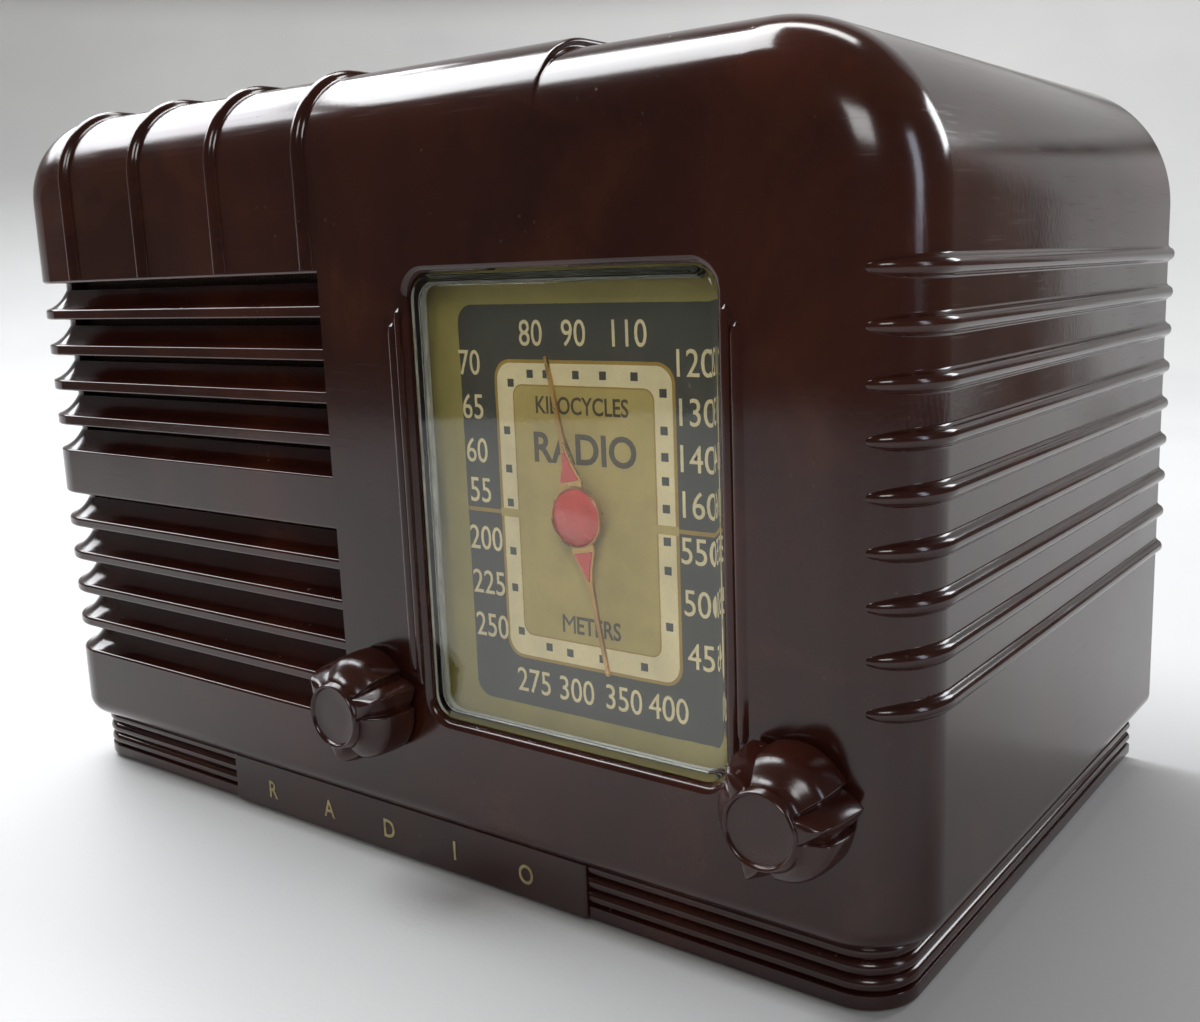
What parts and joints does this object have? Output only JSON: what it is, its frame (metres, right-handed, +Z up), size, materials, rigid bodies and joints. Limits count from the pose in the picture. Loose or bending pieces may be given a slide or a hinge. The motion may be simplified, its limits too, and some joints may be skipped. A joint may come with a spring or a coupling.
{
  "type": "bakelite table radio",
  "caption": "Table radio in a moulded bakelite cabinet with wrap-round louvres on the left, a tall glazed dial with a two-ended pointer, winged knobs and a beaded plinth.",
  "frame": {"origin": "centre of the bounding box in plan, at the underside of the feet", "axes": "front faces -Y, +X to the right seen from the front (the longest side), +Z up"},
  "size_m": [0.255, 0.1634, 0.1749],
  "materials": {
    "bakelite": "polished mottled dark brown",
    "clear_lens": "clear crowned glass",
    "printed_card": "printed satin card",
    "brass": "polished with red enamel",
    "steel": "plated",
    "aluminium": "drawn",
    "copper": "enamelled wire",
    "fibreboard": "pressed fibreboard",
    "cloth": "woven",
    "cone_paper": "moulded paper",
    "black_plastic": "matt",
    "tube_glass": "clear with silvered top",
    "rubber": "matt",
    "felt": "felt",
    "waxed_cord": "braided"
  },
  "bodies": {
    "radio": {"cabinet": "bakelite", "dial_lens": "clear_lens", "lens_clip_left": "steel", "lens_clip_right": "steel", "dial_card": "printed_card", "dial_plate": "steel", "volume_control": "steel", "tuning_bushing": "brass", "gang_frame": "steel", "gang_stator_1": "aluminium", "gang_stator_2": "aluminium", "drive_cord": "waxed_cord", "chassis": "steel", "if_transformer_1": "aluminium", "if_transformer_2": "aluminium", "filter_capacitor": "aluminium", "output_transformer": "steel", "chassis_bolt_1": "steel", "chassis_bolt_2": "steel", "grille_cloth": "cloth", "speaker_board": "fibreboard", "speaker_basket": "steel", "cone_surround": "cone_paper", "speaker_magnet": "steel", "lamp_socket": "steel", "dial_lamp": "tube_glass", "rear_cover": "fibreboard", "loop_antenna": "copper", "cord_grommet": "rubber", "foot_pad_1": "felt", "rear_screw_1": "steel", "foot_pad_2": "felt", "rear_screw_2": "steel", "foot_pad_3": "felt", "rear_screw_3": "steel", "foot_pad_4": "felt", "rear_screw_4": "steel", "rectifier_tube": "tube_glass", "rectifier_tube_socket": "black_plastic", "output_tube": "tube_glass", "output_tube_socket": "black_plastic", "detector_tube": "tube_glass", "detector_tube_socket": "black_plastic", "if_amplifier_tube": "tube_glass", "if_amplifier_tube_socket": "black_plastic", "converter_tube": "tube_glass", "converter_tube_socket": "black_plastic"},
    "volume": {"volume_knob": "bakelite", "volume_shaft": "aluminium"},
    "tuning": {"tuning_knob": "bakelite", "tuning_shaft": "aluminium"},
    "gang": {"gang_rotor": "aluminium", "drive_drum": "steel", "dial_pointer": "brass"},
    "cone": {"speaker_cone": "cone_paper"}
  },
  "joints": [
    {"name": "volume_turn", "type": "hinge", "parent": "radio", "child": "volume", "pos_m": [0.0028, -0.0745, 0.0401], "axis": [0, 1, 0], "range_deg": [0, 300]},
    {"name": "tuning_turn", "type": "hinge", "parent": "radio", "child": "tuning", "pos_m": [0.1061, -0.0745, 0.0401], "axis": [0, 1, 0], "range_deg": [-482.8, 621.4]},
    {"name": "gang_turn", "type": "hinge", "parent": "radio", "child": "gang", "pos_m": [0.0544, -0.0517, 0.0838], "axis": [0, 1, 0], "range_deg": [-78.8, 101.4]},
    {"name": "cone_slide", "type": "slide", "parent": "radio", "child": "cone", "axis": [0, 1, 0], "range_m": [-0.0008, 0.0008], "stiffness_N_per_m": 2000}
  ],
  "couplings": [
    {"joint": "gang_turn", "follows": "tuning_turn", "ratio": 0.163}
  ]
}
